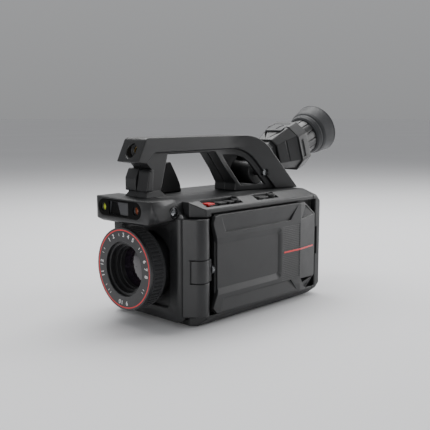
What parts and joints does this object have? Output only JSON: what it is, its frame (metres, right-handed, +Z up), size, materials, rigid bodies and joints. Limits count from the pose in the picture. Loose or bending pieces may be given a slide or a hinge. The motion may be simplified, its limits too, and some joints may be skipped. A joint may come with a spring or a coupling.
{
  "type": "thermal imaging camera",
  "caption": "Hand-held thermal imaging camera with an infrared lens, top handle, folding side screen and tilting viewfinder.",
  "frame": {"origin": "mouth of the tripod socket in the base", "axes": "+Z up, the lens looks along -Y, +X is the screen side"},
  "size_m": [0.116, 0.28, 0.1873],
  "materials": {
    "charcoal_plastic": "fine-textured satin charcoal",
    "hinge_plastic": "satin charcoal",
    "black_plastic": "satin black",
    "gloss_black": "gloss black",
    "rubber": "matt moulded rubber",
    "lens_black": "satin black anodised",
    "red_paint": "red",
    "red_button": "red",
    "steel": "brushed",
    "chrome": "polished",
    "brass": "turned",
    "coated_glass": "coated infrared lens",
    "dark_glass": "dark window glass",
    "circuit_board": "solder-masked board",
    "aluminium": "bead-blasted",
    "laser_glass": "yellow-green emitter lens",
    "amber_glass": "amber emitter lens"
  },
  "bodies": {
    "camera": {"front_frame": "charcoal_plastic", "sensor_window_plate": "charcoal_plastic", "visible_light_window": "dark_glass", "visible_light_camera": "black_plastic", "laser_pointer": "laser_glass", "range_light": "amber_glass", "side_stud": "chrome", "side_stud_ring": "gloss_black", "left_housing": "charcoal_plastic", "right_housing": "charcoal_plastic", "rear_cover": "charcoal_plastic", "base_plate": "black_plastic", "tripod_insert": "brass", "rubber_feet": "rubber", "screws": "steel", "hinge_column": "hinge_plastic", "hinge_pin": "steel", "lens_mount": "lens_black", "lens_barrel": "lens_black", "lens_front_ring": "lens_black", "lens_red_ring": "red_paint", "baffle_ring": "lens_black", "detector_module": "aluminium", "handle_left": "charcoal_plastic", "handle_right": "charcoal_plastic", "handle_insert": "brass", "antenna_fin": "black_plastic", "viewfinder_pin": "steel", "battery": "black_plastic", "battery_bay": "black_plastic", "port_block": "black_plastic", "main_board": "circuit_board", "speaker": "black_plastic", "chassis": "aluminium"},
    "lcd_screen_unit": {"hinge_knuckle": "hinge_plastic", "swivel_shaft": "steel", "lcd_cover": "charcoal_plastic", "lcd_bezel": "black_plastic", "lcd_screen": "dark_glass", "lcd_board": "circuit_board", "lcd_red_strip": "red_paint"},
    "viewfinder": {"viewfinder_body": "charcoal_plastic", "viewfinder_cap": "hinge_plastic", "viewfinder_display": "gloss_black", "eyepiece_barrel": "lens_black", "eyecup": "rubber", "eyepiece_lens": "dark_glass"},
    "diopter": {"diopter_ring": "hinge_plastic"},
    "focus": {"focus_ring": "rubber"},
    "lens_group": {"lens_cell": "lens_black", "front_lens": "coated_glass", "rear_lens": "coated_glass"},
    "record_key": {"record_button": "red_button"},
    "menu_key": {"menu_button": "black_plastic"},
    "back_key": {"back_button": "black_plastic"},
    "ok_key": {"ok_button": "black_plastic"},
    "mode_key": {"mode_button": "black_plastic"},
    "zoom_key": {"zoom_rocker": "black_plastic"},
    "battery_hatch": {"battery_door": "charcoal_plastic"},
    "port_hatch": {"port_cover": "rubber"}
  },
  "joints": [
    {"name": "lcd_open", "type": "hinge", "parent": "camera", "child": "lcd_screen_unit", "pos_m": [0.05, -0.0745, 0.0478], "axis": [0, 0, -1], "range_deg": [0, 90]},
    {"name": "viewfinder_tilt", "type": "hinge", "parent": "camera", "child": "viewfinder", "pos_m": [0, 0.044, 0.1213], "axis": [1, 0, 0], "range_deg": [-19, 30]},
    {"name": "diopter_turn", "type": "hinge", "parent": "viewfinder", "child": "diopter", "pos_m": [0, 0.044, 0.1213], "axis": [0, 0.9409, 0.3387], "range_deg": [-60, 60]},
    {"name": "focus_turn", "type": "hinge", "parent": "camera", "child": "focus", "pos_m": [0, -0.104, 0.0476], "axis": [0, 1, 0], "range_deg": [-60, 60]},
    {"name": "focus_shift", "type": "slide", "parent": "camera", "child": "lens_group", "axis": [0, 1, 0], "range_m": [-0.0009, 0.0009]},
    {"name": "record_press", "type": "slide", "parent": "camera", "child": "record_key", "axis": [0, 0, -1], "range_m": [0, 0.001], "stiffness_N_per_m": 250},
    {"name": "menu_press", "type": "slide", "parent": "camera", "child": "menu_key", "axis": [0, 0, -1], "range_m": [0, 0.001], "stiffness_N_per_m": 250},
    {"name": "back_press", "type": "slide", "parent": "camera", "child": "back_key", "axis": [0, 0, -1], "range_m": [0, 0.001], "stiffness_N_per_m": 250},
    {"name": "ok_press", "type": "slide", "parent": "camera", "child": "ok_key", "axis": [0, 0, -1], "range_m": [0, 0.001], "stiffness_N_per_m": 250},
    {"name": "mode_press", "type": "slide", "parent": "camera", "child": "mode_key", "axis": [0, 0, -1], "range_m": [0, 0.001], "stiffness_N_per_m": 250},
    {"name": "zoom_rock", "type": "hinge", "parent": "camera", "child": "zoom_key", "pos_m": [0.0475, 0.008, 0.10145], "axis": [1, 0, 0], "range_deg": [-5, 5], "stiffness_Nm_per_rad": 0.05},
    {"name": "battery_door_open", "type": "hinge", "parent": "camera", "child": "battery_hatch", "pos_m": [0, 0.0881, 0.02], "axis": [-1, 0, 0], "range_deg": [0, 95]},
    {"name": "port_cover_open", "type": "hinge", "parent": "camera", "child": "port_hatch", "pos_m": [-0.0548, 0.003, 0.0242], "axis": [0, -1, 0], "range_deg": [0, 90]}
  ],
  "couplings": [
    {"joint": "focus_shift", "follows": "focus_turn", "m_per_rad": 0.0008}
  ]
}
